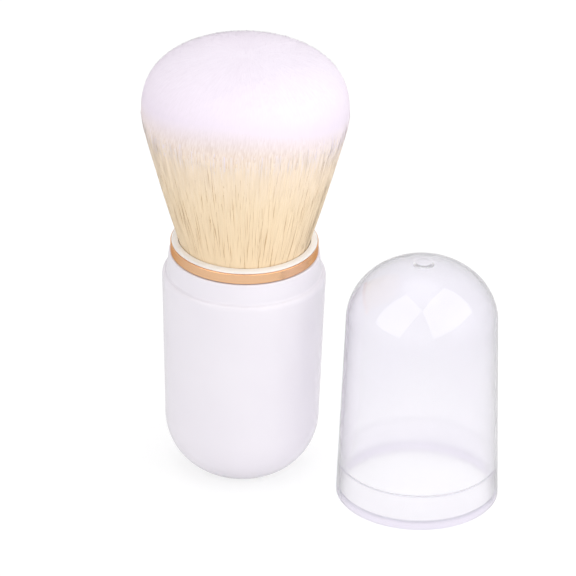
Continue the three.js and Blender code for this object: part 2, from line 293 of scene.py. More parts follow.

# Clear plastic: its two tones, and what tints it at each share of the cap's height, painted shade among
# them
CLEAR_TONES = ((0.965, 0.954, 0.99), (0.978, 0.967, 0.998))
WHITE = (1, 1, 1)
# Painted shade: a darker foot and band where the plastic is thicker, and dark lines at the lip's and
# recess's steps
PAINTED_FOOT_SHADE = (0.915, 0.885, 0.95)
PAINTED_STEP_SHADE = (0.72, 0.7, 0.77)
PAINTED_BAND_SHADE = (0.98, 0.975, 0.985)
DOME_TINT = (0.965, 0.963, 0.972)
LIP_SHARE = LIP_HEIGHT / CAP_TOP
RECESS_SHARE = RECESS_HEIGHT / CAP_TOP
CAP_TINTS_AND_SHADE = (
    (LIP_SHARE - 0.008, PAINTED_FOOT_SHADE),
    (LIP_SHARE - 0.003, PAINTED_STEP_SHADE),
    (LIP_SHARE + 0.003, PAINTED_STEP_SHADE),
    (LIP_SHARE + 0.006, PAINTED_BAND_SHADE),
    (RECESS_SHARE - 0.004, PAINTED_BAND_SHADE),
    (RECESS_SHARE, PAINTED_STEP_SHADE),
    (RECESS_SHARE + 0.004, WHITE),
    (0.5, WHITE),
    (0.75, DOME_TINT),
)
OUTSIDE_ROUGHNESS = 0.03
INSIDE_ROUGHNESS = 0.2
CLEAR_IOR = 1.5
CLEAR_TRANSMISSION = 0.95

# Moulded, drawn and plated surfaces: the two tones and the two roughnesses that each drifts between
TONE_ENDS = (0.3, 0.7)
DRIFT_SCALE = 60
CLEAR_DRIFT_SCALE = 40
DRIFT_DETAIL = 2
FINE_SCALE = 900
FINE_DETAIL = 3
FINE_RELIEF = 0.01 * MM
BUMP_STRENGTH = 0.15
SURFACES = {
    "white_plastic": {
        "tones": ((0.855, 0.817, 0.88), (0.87, 0.833, 0.893)),
        "rough": (0.2, 0.27),
    },
    # The rim's plastic is an ivory white, made lighter than the casing's as painted light, since the head
    # shades the rim
    "rim_plastic_painted_light": {
        "tones": ((0.93, 0.91, 0.90), (0.945, 0.925, 0.91)),
        "rough": (0.2, 0.27),
    },
    "inner_plastic": {
        "tones": ((0.74, 0.73, 0.72), (0.79, 0.78, 0.77)),
        "rough": (0.45, 0.6),
    },
    "copper_plate": {
        "tones": ((0.84, 0.51, 0.30), (0.88, 0.55, 0.33)),
        "rough": (0.2, 0.26),
        "metallic": 1.0,
        "relief": 0.002 * MM,
        "scale": 500,
        "stretch": (1, 1, 6),
        "edge_tint": (0.85, 0.55, 0.35),
    },
    "steel": {
        "tones": ((0.52, 0.53, 0.55), (0.6, 0.61, 0.63)),
        "rough": (0.3, 0.45),
        "metallic": 1.0,
        "relief": 0.02 * MM,
        "scale": 600,
    },
    "spun_aluminium": {
        "tones": ((0.72, 0.73, 0.75), (0.8, 0.81, 0.82)),
        "rough": (0.3, 0.42),
        "metallic": 1.0,
        "relief": 0.02 * MM,
        "scale": 500,
        "stretch": (1, 1, 8),
    },
    "rubber": {
        "tones": ((0.02, 0.02, 0.022), (0.035, 0.035, 0.037)),
        "rough": (0.7, 0.85),
        "relief": 0.02 * MM,
    },
    "set_resin": {
        "tones": ((0.66, 0.52, 0.3), (0.72, 0.58, 0.36)),
        "rough": (0.4, 0.6),
        "relief": 0.05 * MM,
    },
}

# Surroundings: how bright the world is to the pieces and in gloss and glass, and the white floor
AMBIENT = 0.65
WORLD_SEEN = 0.9
FLOOR_REACH = 3.0
FLOOR_DROP = 0.05 * MM
FLOOR_COLOUR = (0.86, 0.86, 0.86)
FLOOR_GLOW = 1.15
FLOOR_GLOW_SHARE = 0.62
FLOOR_DISTANCES = (0.3, 0.8)
FLOOR_SEEN = (1.0, 0.78)
FLOOR_SLANT = -0.25
FLOOR_DEPTHS = (-0.12, 0.11)
FLOOR_GLOSS = (1.0, 0.68)

# Lamps, by their direction from the target, distance, side and power
LIGHT_TARGET = Vector((0, 0, 55 * MM))
LAMPS = {
    "key_left": ((-0.7, -0.75, 0.42), 1.2, 1.1, 2.1),
    "key_right": ((1.0, -0.38, 0.36), 1.2, 1.1, 5.4),
    "fill_front": ((-0.1, -1.0, 0.08), 1.5, 1.0, 3.6),
    "top": ((0, 0.1, 1.0), 1.4, 1.0, 5.9),
}

# Reflecting cards, by the directions of their corners
CARD_DISTANCE = 1.2
CARD_STRENGTH = 2.4
CARD_MEETING = (0.022, -0.497, 0.868)
CARDS = {
    "card_left": ((-0.952, -0.229, 0.203), (-0.306, -0.003, 0.952), CARD_MEETING, (-0.519, -0.848, 0.108)),
    "card_right": (CARD_MEETING, (0.415, 0.254, 0.874), (0.923, 0.087, 0.376), (0.292, -0.945, 0.150)),
}


# Meshes

def add_object(name, verts, faces):
    """A new mesh object in the scene."""
    mesh = bpy.data.meshes.new(name)
    mesh.from_pydata([tuple(v) for v in verts], [], [tuple(f) for f in faces])
    mesh.validate()
    mesh.update()
    made = bpy.data.objects.new(name, mesh)
    bpy.context.scene.collection.objects.link(made)
    return made


def store(made, name, domain, values):
    """Keep a number on each point or face, which the materials read."""
    attribute = made.data.attributes.new(name, "FLOAT", domain)
    attribute.data.foreach_set("value", values.astype(np.float32))


def turned(name, outline, sides=SIDES, centre=(0, 0)):
    """A closed body turned about an upright axis. Its outline of (radius, height) has the body on its left,
    and where it starts and ends on the axis its ends are single points."""
    verts = []
    rows = []
    for radius, height in outline:
        first = len(verts)
        if radius < TINY:
            rows.append([first] * sides)
            verts.append((*centre, height))
            continue
        rows.append(range(first, first + sides))
        for k in range(sides):
            angle = TURN * k / sides
            verts.append((
                centre[0] + radius * math.cos(angle),
                centre[1] + radius * math.sin(angle),
                height,
            ))
    pairs = list(zip(rows, rows[1:]))
    if outline[0][0] > TINY:
        pairs.append((rows[-1], rows[0]))
    faces = []
    for low, high in pairs:
        for k in range(sides):
            after = (k + 1) % sides
            corners = dict.fromkeys([low[k], low[after], high[after], high[k]])
            if len(corners) > 2:
                faces.append(corners)
    made = add_object(name, verts, faces)
    made.data.shade_smooth()
    return made


# Outlines, as lists of (radius, height)

def arc(radius, height, reach, rise, start, end, steps):
    """Points along an ellipse about (radius, height), from one angle to another."""
    angles = np.linspace(start, end, steps + 1)
    return [(radius + reach * math.cos(a), height + rise * math.sin(a)) for a in angles]


def rounded(points, rounds):
    """The closed outline with each corner rounded by its own radius, and a point just before and after."""
    outline = []
    for i, size in enumerate(rounds):
        corner = Vector(points[i])
        if size == 0:
            outline.append(tuple(corner))
            continue
        before = Vector(points[i - 1]) - corner
        after = Vector(points[(i + 1) % len(points)]) - corner
        half = before.angle(after) / 2
        size = min(size, ROUND_REACH * min(before.length, after.length) * math.tan(half))
        reach = size / math.tan(half)
        before.normalize()
        after.normalize()
        start = corner + before * reach
        end = corner + after * reach
        centre = corner + (before + after).normalized() * (size / math.sin(half))
        first = start - centre
        last = end - centre
        sweep = first.angle(last)
        outline.append(tuple(start + before * size * ROUND_HOLD))
        for k in range(ROUND_STEPS + 1):
            t = k / ROUND_STEPS
            spot = (first * math.sin((1 - t) * sweep) + last * math.sin(t * sweep)) / math.sin(sweep)
            outline.append(tuple(centre + spot))
        outline.append(tuple(end + after * size * ROUND_HOLD))
    return outline


# Casing

def wall_radius(height):
    """Outside radius of the casing's leaning wall."""
    share = (height - FOOT_TOP) / (WALL_TOP - FOOT_TOP)
    return CASING_RADIUS - CASING_LEAN * (1 - share)


def foot_arc(inset, low, steps):
    """Points up the casing's foot round, taken in by some distance, from a height to the round's top."""
    size = FOOT_ROUND - inset
    start = math.asin((low - FOOT_TOP) / size)
    return arc(FOOT_CENTRE, FOOT_TOP, size, size, start, 0, steps)


def casing():
    """A capsule's lower half, with a flat base and a rounded shoulder at its mouth."""
    bore = wall_radius(CASING_HEIGHT) - CASING_WALL
    return turned("casing_shell", [
        (0, 0),
        (BASE_RADIUS - EDGE, 0),
        *foot_arc(0, BASE_EDGE, FOOT_STEPS),
        (wall_radius(WALL_TOP - EDGE), WALL_TOP - EDGE),
        *arc(MOUTH_RADIUS, WALL_TOP, SHOULDER_REACH, SHOULDER_DROP, 0, TURN / 4, SHOULDER_STEPS),
        (bore + FINE_EDGE, CASING_HEIGHT),
        (bore, CASING_HEIGHT - FINE_EDGE),
        *foot_arc(CASING_WALL, FLOOR_THICKNESS, FOOT_INSIDE_STEPS)[::-1],
        (0, FLOOR_THICKNESS),
    ])


# Neck collar

def skirt_radius(height):
    """Outside radius of the collar's skirt, which lies along the inside of the casing's wall."""
    return wall_radius(height) - CASING_WALL - SKIRT_GAP


def neck_hollow():
    """The small hollow in which the neck's wall runs out over the casing's shoulder, from its lower end."""
    lap = math.acos(HOLLOW_LAP / SHOULDER_REACH)
    slope = SHOULDER_DROP / SHOULDER_REACH * math.cos(lap) / math.sin(lap)
    start = Vector((
        MOUTH_RADIUS + HOLLOW_LAP,
        CASING_HEIGHT - SHOULDER_DROP * (1 - math.sin(lap)) + HOLLOW_LIFT,
    ))
    bend = Vector((NECK_FOOT_RADIUS, start.y + (start.x - NECK_FOOT_RADIUS) * slope))
    end = Vector((NECK_FOOT_RADIUS, CASING_HEIGHT + HOLLOW_RISE))
    return [
        tuple(start * (1 - t) ** 2 + bend * 2 * t * (1 - t) + end * t ** 2)
        for t in np.linspace(0, 1, HOLLOW_STEPS + 1)
    ]


def neck_collar():
    """The neck that the cap grips, with a skirt inside the casing's mouth."""
    hollow = neck_hollow()
    return turned("neck", rounded([
        (NECK_BORE, SKIRT_FOOT),
        (skirt_radius(SKIRT_FOOT), SKIRT_FOOT),
        (skirt_radius(CASING_HEIGHT), CASING_HEIGHT),
        *hollow,
        (NECK_TOP_RADIUS, NECK_TOP),
        (NECK_BORE, NECK_TOP),
    ], [EDGE, EDGE, 0, *[0] * len(hollow), NECK_ROUND, EDGE]))


# Sleeve, ring and rim

def sleeve_tube():
    """The sliding tube, with its stop flange at the foot and a thicker head inside the ring."""
    flange = wall_radius(SLEEVE_FOOT) - CASING_WALL - FLANGE_GAP
    return turned("sleeve", rounded([
        (SLEEVE_BORE, SLEEVE_FOOT),
        (flange, SLEEVE_FOOT),
        (flange, FLANGE_TOP),
        (SLEEVE_RADIUS, FLANGE_TOP),
        (SLEEVE_RADIUS, RING_FOOT),
        (SLEEVE_HEAD, RING_FOOT),
        (SLEEVE_HEAD, RING_TOP),
        (SLEEVE_BORE, RING_TOP),
    ], [EDGE, EDGE, EDGE, EDGE, EDGE, FINE_EDGE, FINE_EDGE, FINE_EDGE]), SLEEVE_SIDES)


def copper_ring():
    """The plated band round the sleeve's head."""
    return turned("ring", rounded([
        (RING_BORE, RING_FOOT),
        (RING_RADIUS, RING_FOOT),
        (RING_RADIUS, RING_TOP),
        (RING_BORE, RING_TOP),
    ], [FINE_EDGE, EDGE, EDGE, FINE_EDGE]))


def sleeve_rim():
    """The rim over the ring, crowned, with a fine groove under its edge."""
    crown = arc(
        SLEEVE_BORE, RING_TOP, RIM_RADIUS - SLEEVE_BORE, RIM_TOP - RING_TOP,
        RIM_ARC_START, RIM_ARC_END, RIM_STEPS,
    )
    return turned("rim", [
        (SLEEVE_BORE + FINE_EDGE, RING_TOP),
        (RIM_RADIUS - GROOVE, RING_TOP),
        (RIM_RADIUS - GROOVE, RING_TOP + GROOVE),
        *crown,
        (SLEEVE_BORE + FINE_EDGE, RIM_TOP),
        (SLEEVE_BORE, RIM_TOP - FINE_EDGE),
        (SLEEVE_BORE, RING_TOP + FINE_EDGE),
    ])


# Cap

def cap_outside(height):
    """Outside radius of the cap's leaning wall."""
    return CAP_RADIUS - CAP_LEAN * height / CAP_SHOULDER


def cap_inside(height):
    """Inside radius of the cap's leaning wall, above its recess."""
    return cap_outside(height) - CAP_WALL


def cap_shell():
    """A thin dome on a leaning wall, with a lip and a recess inside its foot and a gate disc on top."""
    shoulder = CAP_RADIUS - CAP_LEAN
    rise = CAP_TOP - GATE_HEIGHT - CAP_SHOULDER
    gate_angle = math.acos(GATE_RADIUS / shoulder)
    inner_dome = arc(
        0, CAP_SHOULDER, shoulder - CAP_WALL, rise - CAP_WALL, TURN / 4, 0, CAP_DOME_STEPS,
    )[:-1]
    lower = rounded([
        (cap_inside(CAP_SHOULDER), CAP_SHOULDER),
        (cap_inside(RECESS_HEIGHT), RECESS_HEIGHT),
        (RECESS_RADIUS, RECESS_HEIGHT),
        (RECESS_RADIUS, LIP_HEIGHT),
        (LIP_RADIUS, LIP_HEIGHT),
        (LIP_RADIUS, 0),
        (cap_outside(0), 0),
        (cap_outside(CAP_SHOULDER), CAP_SHOULDER),
    ], [0, FINE_EDGE, FINE_EDGE, FINE_EDGE, FINE_EDGE, FINE_EDGE, CAP_FOOT_ROUND, 0])
    outer_dome = arc(0, CAP_SHOULDER, shoulder, rise, 0, gate_angle, CAP_DOME_STEPS)[1:]
    gate_foot = outer_dome[-1][1]
    gate = [
        (GATE_RADIUS - GATE_ROUND * t, gate_foot + (CAP_TOP - gate_foot) * (1 - math.cos(t * TURN / 2)) / 2)
        for t in np.linspace(0, 1, GATE_STEPS + 1)[1:]
    ]
    outline = [*inner_dome, *lower, *outer_dome, *gate, (0, CAP_TOP)]
    made = turned("clear_cap", outline, CAP_SIDES, CAP_CENTRE[:2])
    inner_rows = next(i for i, (_, height) in enumerate(outline) if height < LIP_HEIGHT / 2)
    inside = np.arange(len(made.data.polygons)) < inner_rows * CAP_SIDES
    store(made, "inside", "FACE", inside)
    return made


# The head's form

def dome(share):
    """How far the dome reaches on one of its axes, at a share of its reach on the other."""
    return (1 - share ** DOME_POWER) ** (1 / DOME_POWER)


def head_radius(height):
    """Radius of the head's outside at a height."""
    flare = np.interp(height - RING_TOP, FLARE_HEIGHTS, FLARE_RADII)
    above = FLARE_RADII[-1] * dome(np.clip((height - WIDEST) / DOME_RISE, 0, 1))
    return np.where(height < WIDEST, flare, above)


def profile_heights(flare_count, dome_count, reach):
    """Heights from the root to the widest place, and on up some share of the dome's quarter turn."""
    flare = np.linspace(ROOT_FOOT, WIDEST, flare_count)
    turns = np.linspace(0, reach, dome_count)[1:] * TURN / 4
    return np.concatenate([flare, WIDEST + DOME_RISE * np.sin(turns)])


def dye_height(x, y):
    """Height at which the bristles turn from cream to lilac white, about the head."""
    around = np.maximum(np.hypot(x, y), MM)
    return DYE_HEIGHT + DYE_FRONT_RISE * (y / around) ** 2 - DYE_SLANT * x / around


def unit(vectors):
    """The vectors brought to length 1, apart from those that have none."""
    return vectors / np.maximum(np.linalg.norm(vectors, axis=-1, keepdims=True), TINY)


def head_normal(points):
    """Direction out of the head near some points: level on the flare and square to the dome above it, then
    lifted a little, since light that enters the bristles from above comes out at their sides."""
    across = np.hypot(points[..., 0], points[..., 1])
    above = points[..., 2] - WIDEST
    out_part = np.where(above < 0, 1, (across / HEAD_RADIUS) ** (DOME_POWER - 1) / HEAD_RADIUS)
    up_part = np.clip(above / DOME_RISE, 0, 1) ** (DOME_POWER - 1) / DOME_RISE
    outward = unit(points[..., :2]) * out_part[..., None]
    normal = unit(np.concatenate([outward, up_part[..., None]], axis=-1))
    normal[..., 2] += NORMAL_LIFT
    return unit(normal)


def lean(points):
    """The points moved with the head's lean, which grows from the root to the top."""
    moved = points.copy()
    moved[..., 0] -= LEAN * np.clip((points[..., 2] - ROOT_FOOT) / (HEAD_TOP - ROOT_FOOT), 0, 1)
    return moved


def round_points(radius, angle, height):
    """Points (..., xyz) from radii, angles and heights about the brush's axis."""
    parts = np.broadcast_arrays(radius * np.cos(angle), radius * np.sin(angle), height)
    return np.stack(parts, axis=-1)


# Bristles. Each of the next four functions gives points, faces, and each point's shade, height above the
# colour change and normal.

def strand_arrays(paths, sizes, spin, shade, dye):
    """Three-sided tapered strands along paths (strand, section, xyz)."""
    count, sections, _ = paths.shape
    along = unit(np.gradient(paths, axis=1))
    outward = unit(paths * (1, 1, 0))
    side = unit(np.cross(along, outward))
    front = np.cross(side, along)
    angles = spin[:, None] + TURN * np.arange(3) / 3
    ring = (
        front[:, :, None, :] * np.cos(angles)[:, None, :, None]
        + side[:, :, None, :] * np.sin(angles)[:, None, :, None]
    )
    points = paths[:, :, None, :] + ring * sizes[:, :, None, None]
    corners = np.arange(count * sections * 3).reshape(count, sections, 3)
    after = np.roll(corners, -1, axis=2)
    walls = np.stack([corners[:, :-1], after[:, :-1], after[:, 1:], corners[:, 1:]], axis=3)
    faces = [
        *walls.reshape(-1, 4).tolist(),
        *corners[:, 0, ::-1].tolist(),
        *corners[:, -1].tolist(),
    ]
    above = points[..., 2] - dye[:, None, None]
    share = np.interp(points[..., 2:] - RING_TOP, NORMAL_HEIGHTS, NORMAL_SHARES)
    normals = head_normal(points) * share + ring * (1 - share)
    return points.reshape(-1, 3), faces, np.repeat(shade, 3), above.reshape(-1), normals.reshape(-1, 3)


def long_strands(rng, start, sweep, count):
    """Strands that run up the side of the head, in its outer layer. Some are streaks, part darker fibre and
    part painted shade.
    """
    angle = start + sweep * (np.arange(count) + rng.random(count)) / count
    depth = LAYER_DEPTH * rng.random(count) ** LAYER_POWER
    streaked = rng.random(count) < np.interp(np.sin(angle) ** 2, (0, 1), STREAKED_SHARES)
    depth *= 1 - streaked
    grid = profile_heights(*LONG_GRID)
    steps = np.hypot(np.diff(grid), np.diff(head_radius(grid)))
    travelled = np.concatenate([[0], np.cumsum(steps)])
    widest = np.interp(WIDEST, grid, travelled)
    end = widest + rng.uniform(*LONG_ENDS, count) - STREAK_SHORTER * streaked
    along = np.linspace(0, 1, LONG_SECTIONS) ** SECTION_POWER
    height = np.interp(end[:, None] * along, travelled, grid)
    sinking = SINK * np.clip((along - (1 - SINK_SHARE)) / SINK_SHARE, 0, 1) ** 2
    inset = np.where(streaked, STREAK_INSET, LONG_INSET)
    radius = head_radius(height) * (1 - depth[:, None]) - inset[:, None] - sinking
    height = height - sinking * np.clip((height - WIDEST) / SINK_TURN, 0, 1)
    wander = rng.uniform(-WANDER, WANDER, (count, 1)) * along
    phase = rng.random((count, 1))
    ripple = RIPPLE * np.sin(TURN * (phase + along * rng.uniform(*RIPPLE_TURNS, (count, 1))))
    turn = angle[:, None] + (wander + ripple) / np.maximum(radius, MM)
    paths = round_points(radius, turn, height)
    thick = rng.uniform(*LONG_SIZES, count) * np.where(streaked, STREAK_THINNER, 1)
    taper = np.clip((1 - along) / TAPER_SHARE, TAPER_END, 1) ** TAPER_POWER
    shade = rng.uniform(*LONG_SHADES, count)
    middle = rng.uniform(*STREAK_HEIGHTS, count)
    reach = STREAK_REACH + STREAK_MORE_REACH * rng.random(count) ** 2
    # A streak's darkening is partly a darker fibre and partly painted shade of the gap between strands
    streak_dark_and_shade = streaked * rng.uniform(*STREAK_DARKNESS_AND_SHADE, count)
    near = np.exp(-((height - middle[:, None]) / reach[:, None]) ** 2)
    shade = shade[:, None] - streak_dark_and_shade[:, None] * near
    dye = dye_height(np.cos(angle), np.sin(angle)) + rng.normal(0, DYE_SCATTER, count)
    spin = rng.uniform(*SPINS, count)
    return strand_arrays(lean(paths), thick[:, None] * taper, spin, shade, dye)


def tip_strands(rng, start, sweep, count):
    """The fine ends that make the dome's surface and the upper part of the side, spread evenly over it."""
    sections = len(TIP_SIZES)
    side_heights = np.linspace(TIPS_FOOT, WIDEST, TIP_GRID[0])[:-1]
    dome_shares = np.linspace(1, 0, TIP_GRID[1]) ** 0.5 * TIPS_REACH
    radii = np.concatenate([head_radius(side_heights), HEAD_RADIUS * dome_shares])
    heights = np.concatenate([side_heights, WIDEST + DOME_RISE * dome(dome_shares)])
    steps = np.hypot(np.diff(radii), np.diff(heights))
    density = np.clip((heights[1:] - TIPS_FOOT) / TIPS_FADE, 0, 1)
    area = np.concatenate([[0], np.cumsum(steps * density * (radii[1:] + radii[:-1]))])
    place = (np.arange(count) + rng.random(count)) / count * area[-1]
    radius = np.interp(place, area, radii)
    height = np.interp(place, area, heights)
    angle = start + sweep * rng.random(count)
    share = radius / HEAD_RADIUS
    tip_radius = radius * (1 - TIP_DEPTH * rng.random(count)) - TIP_INSET * share
    tip_height = height - TIP_DROP * rng.random(count)
    slope = (tip_radius - share * ROOT_RADIUS) / (tip_height - ROOT_FOOT)
    back = rng.uniform(*TIP_LENGTHS, count)[:, None] * np.linspace(1, 0, sections)
    along_height = tip_height[:, None] - back
    along_radius = tip_radius[:, None] - slope[:, None] * back * TIP_SLOPE
    limit = np.maximum(head_radius(along_height) - TIP_COVER, LEAST_TIP_RADIUS)
    along_radius = np.clip(along_radius, LEAST_TIP_RADIUS, limit)
    wander = rng.uniform(-TIP_WANDER, TIP_WANDER, (count, 1))
    turn = angle[:, None] + wander / np.maximum(along_radius, MM)
    sizes = TIP_SIZES * rng.uniform(*TIP_SIZE_SHARES, (count, 1))
    dim = (rng.random(count) < DIM_TIP_SHARE) & (height > DIM_TIPS_FOOT)
    dulling = np.where(height > WIDEST, DOME_DULLING, SIDE_DULLING) * (1 - rng.random(count))
    shade = np.repeat(1 - dulling - DIM_TIP_DARKNESS * dim, sections)
    dye = dye_height(np.cos(angle), np.sin(angle)) + rng.normal(LATE_DYE, TIP_DYE_SCATTER, count)
    spin = rng.uniform(*SPINS, count)
    return strand_arrays(lean(round_points(along_radius, turn, along_height)), sizes, spin, shade, dye)


def core_arrays(rng, start, sweep):
    """The solid wedge under a tuft's strands, ridged like the strands below the outer ones."""
    heights = profile_heights(*CORE_GRID)[:-1]
    rows = len(heights)
    wide = CORE_COLUMNS + 1
    angles = start + sweep * np.linspace(0, 1, wide)
    inset = rng.uniform(*RIDGE_INSETS, wide)
    inset[[0, -1]] = SEAM_INSET
    # The ridges' darkening is partly painted shade of the deeper strands between the outer ones
    ridge_shades = rng.uniform(*RIDGE_SHADES, wide)
    smooth = np.clip((heights - SMOOTH_FOOT) / SMOOTH_RISE, 0, 1)[:, None]
    lowered = heights - CORE_SINK * np.clip((heights - WIDEST) / DOME_RISE, 0, 1)
    radius = head_radius(heights)[:, None] - inset * (1 - RIDGE_FADE * smooth)
    skin = round_points(np.maximum(radius, LEAST_CORE_RADIUS), angles, lowered[:, None])
    skin_shades = ridge_shades * (1 - smooth) + rng.uniform(*SMOOTH_SHADES, radius.shape) * smooth
    points = lean(np.concatenate([
        skin.reshape(-1, 3),
        [(0, 0, HEAD_TOP - CORE_SINK)],
        round_points(0, 0, lowered),
    ]))
    shade = np.concatenate([skin_shades.reshape(-1), [APEX_SHADE], np.full(rows, AXIS_SHADE)])
    apex = rows * wide
    axis = apex + 1
    faces = []
    for row in range(rows - 1):
        low = row * wide
        high = low + wide
        for k in range(CORE_COLUMNS):
            faces.append((low + k, low + k + 1, high + k + 1, high + k))
        faces.append((axis + row, low, high, axis + row + 1))
        faces.append((low + CORE_COLUMNS, axis + row, axis + row + 1, high + CORE_COLUMNS))
    last = apex - wide
    for k in range(CORE_COLUMNS):
        faces.append((last + k, last + k + 1, apex))
        faces.append((k + 1, k, axis))
    faces.append((axis + rows - 1, last, apex))
    faces.append((apex - 1, axis + rows - 1, apex))
    dye = dye_height(points[:, 0], points[:, 1]) + LATE_DYE
    return points, faces, shade, points[:, 2] - dye, head_normal(points)


def tuft(index):
    """One sector of the head: a ridged wedge with the strands over it, as one mesh."""
    rng = np.random.default_rng(FIRST_SEED + index)
    sweep = TURN / TUFT_COUNT
    start = sweep * index
    points, part_faces, shades, above, normals = zip(
        core_arrays(rng, start, sweep),
        long_strands(rng, start, sweep, LONG_STRANDS // TUFT_COUNT),
        tip_strands(rng, start, sweep, TIP_STRANDS // TUFT_COUNT),
    )
    faces = []
    first = 0
    for part, some_faces in zip(points, part_faces):
        faces.extend(tuple(corner + first for corner in face) for face in some_faces)
        first += len(part)
    made = add_object(f"bristle_tuft_{index:02d}", np.concatenate(points), faces)
    made.data.shade_smooth()
    made.data.normals_split_custom_set_from_vertices(unit(np.concatenate(normals)))
    store(made, "shade", "POINT", np.concatenate(shades))
    store(made, "above_dye", "POINT", np.concatenate(above) / MM)
    return made


# Shader nodes

def new_material(name):
    """A new material, with its node tree and its shader."""
    made = bpy.data.materials.new(name)
    made.use_nodes = True
    tree = made.node_tree
    return made, tree, tree.nodes["Principled BSDF"]


def set_material(made, material):
    """Give an object one material in place of any others."""
    made.data.materials.clear()
    made.data.materials.append(material)


def feed(tree, value, socket):
    """Set a socket to a number, or link another socket to it."""
    if isinstance(value, (int, float)):
        socket.default_value = value
    else:
        tree.links.new(value, socket)


def maths(tree, operation, *values):
    """The result of a sum on numbers or sockets."""
    node = tree.nodes.new("ShaderNodeMath")
    node.operation = operation
    for value, socket in zip(values, node.inputs):
        feed(tree, value, socket)
    return node.outputs[0]


def span(tree, value, source, target):
    """A value brought from one range to another, and held at its ends."""
    node = tree.nodes.new("ShaderNodeMapRange")
    for name, limit in zip(("From Min", "From Max", "To Min", "To Max"), (*source, *target)):
        node.inputs[name].default_value = limit
    tree.links.new(value, node.inputs["Value"])
    return node.outputs[0]


def ramp(tree, factor, stops):
    """The colour at some place along a ramp of (place, colour) stops."""
    node = tree.nodes.new("ShaderNodeValToRGB")
    tree.links.new(factor, node.inputs["Fac"])
    elements = node.color_ramp.elements
    while len(elements) < len(stops):
        elements.new(0.5)
    for element, (place, colour) in zip(elements, stops):
        element.position = place
        element.color = (*colour, 1)
    return node.outputs["Color"]


def drift(tree, factor, tones):
    """A colour that goes from one tone to another with some noise."""
    return ramp(tree, factor, list(zip(TONE_ENDS, tones)))


def mixed(tree, way, factor, first, second):
    """Two colours put together in one of the mix node's ways."""
    node = tree.nodes.new("ShaderNodeMix")
    node.data_type = "RGBA"
    node.blend_type = way
    feed(tree, factor, node.inputs["Factor"])
    ends = [socket for socket in node.inputs if socket.type == "RGBA"]
    tree.links.new(first, ends[0])
    tree.links.new(second, ends[1])
    return next(socket for socket in node.outputs if socket.type == "RGBA")


def stored(tree, name):
    """A number that was kept on the mesh."""
    node = tree.nodes.new("ShaderNodeAttribute")
    node.attribute_name = name
    return node.outputs["Fac"]


def object_place(tree):
    """The place of a point in its object's own frame."""
    return tree.nodes.new("ShaderNodeTexCoord").outputs["Object"]


def parts_of(tree, vector):
    """The X, Y and Z of a vector."""
    node = tree.nodes.new("ShaderNodeSeparateXYZ")
    tree.links.new(vector, node.inputs[0])
    return node.outputs


def noise(tree, scale, detail=DRIFT_DETAIL, stretch=(1, 1, 1)):
    """Noise on the object's own frame."""
    mapping = tree.nodes.new("ShaderNodeMapping")
    mapping.inputs["Scale"].default_value = stretch
    tree.links.new(object_place(tree), mapping.inputs["Vector"])
    node = tree.nodes.new("ShaderNodeTexNoise")
    node.inputs["Scale"].default_value = scale
    node.inputs["Detail"].default_value = detail
    tree.links.new(mapping.outputs["Vector"], node.inputs["Vector"])
    return node.outputs["Fac"]


def bump(tree, shader, height, strength, distance):
    """Fine relief in a shader's normal."""
    node = tree.nodes.new("ShaderNodeBump")
    node.inputs["Strength"].default_value = strength
    node.inputs["Distance"].default_value = distance
    tree.links.new(height, node.inputs["Height"])
    tree.links.new(node.outputs["Normal"], shader.inputs["Normal"])


def surface_mix(tree, share, first, second):
    """Make the material's surface a mix of two shaders, with a share of the second."""
    node = tree.nodes.new("ShaderNodeMixShader")
    tree.links.new(share, node.inputs["Fac"])
    tree.links.new(first.outputs[0], node.inputs[1])
    tree.links.new(second.outputs[0], node.inputs[2])
    tree.links.new(node.outputs[0], tree.nodes["Material Output"].inputs["Surface"])


def ray_kinds(tree):
    """Three values that are 1 for rays from the camera, from gloss and from glass."""
    path = tree.nodes.new("ShaderNodeLightPath")
    return [path.outputs[name] for name in ("Is Camera Ray", "Is Glossy Ray", "Is Transmission Ray")]


# Materials

def moulded(
    name, tones, rough, metallic=0.0,
    relief=FINE_RELIEF, scale=FINE_SCALE, stretch=(1, 1, 1), edge_tint=WHITE,
):
    """A moulded, drawn or plated surface: its colour drifts between two tones, and its gloss finely."""
    made, tree, shader = new_material(name)
    tree.links.new(drift(tree, noise(tree, DRIFT_SCALE), tones), shader.inputs["Base Color"])
    fine = noise(tree, scale, FINE_DETAIL, stretch)
    greys = [(value,) * 3 for value in rough]
    tree.links.new(drift(tree, fine, greys), shader.inputs["Roughness"])
    shader.inputs["Metallic"].default_value = metallic
    shader.inputs["Specular Tint"].default_value = (*edge_tint, 1)
    bump(tree, shader, fine, BUMP_STRENGTH, relief)
    return made


def bristle_material():
    """Fibre that is cream at the root and lilac at the tip, and brown or grey where a strand is dark:
    partly darker fibre and partly painted shade between strands.
    """
    made, tree, shader = new_material("bristle_fibre")
    place = maths(tree, "MULTIPLY_ADD", stored(tree, "above_dye"), 1 / DYE_RAMP_LENGTH, DYE_RAMP_MIDDLE)
    light = ramp(tree, place, [
        (0.0, CREAM_DEEP),
        (0.3, CREAM),
        (0.52, CREAM_PALE),
        (0.63, BLUSH),
        (0.74, LILAC_PALE),
        (0.95, LILAC),
    ])
    dark = ramp(tree, place, [
        (0.0, TAN_AND_SHADE_DEEP),
        (0.45, TAN_AND_SHADE),
        (0.6, TAN_AND_SHADE_PALE),
        (0.72, LILAC_GREY_AND_SHADE),
        (1.0, LILAC_GREY_AND_SHADE_PALE),
    ])
    colour = mixed(tree, "MIX", stored(tree, "shade"), dark, light)
    tree.links.new(colour, shader.inputs["Base Color"])
    for name, value in BRISTLE_SURFACE.items():
        shader.inputs[name].default_value = value
    return made


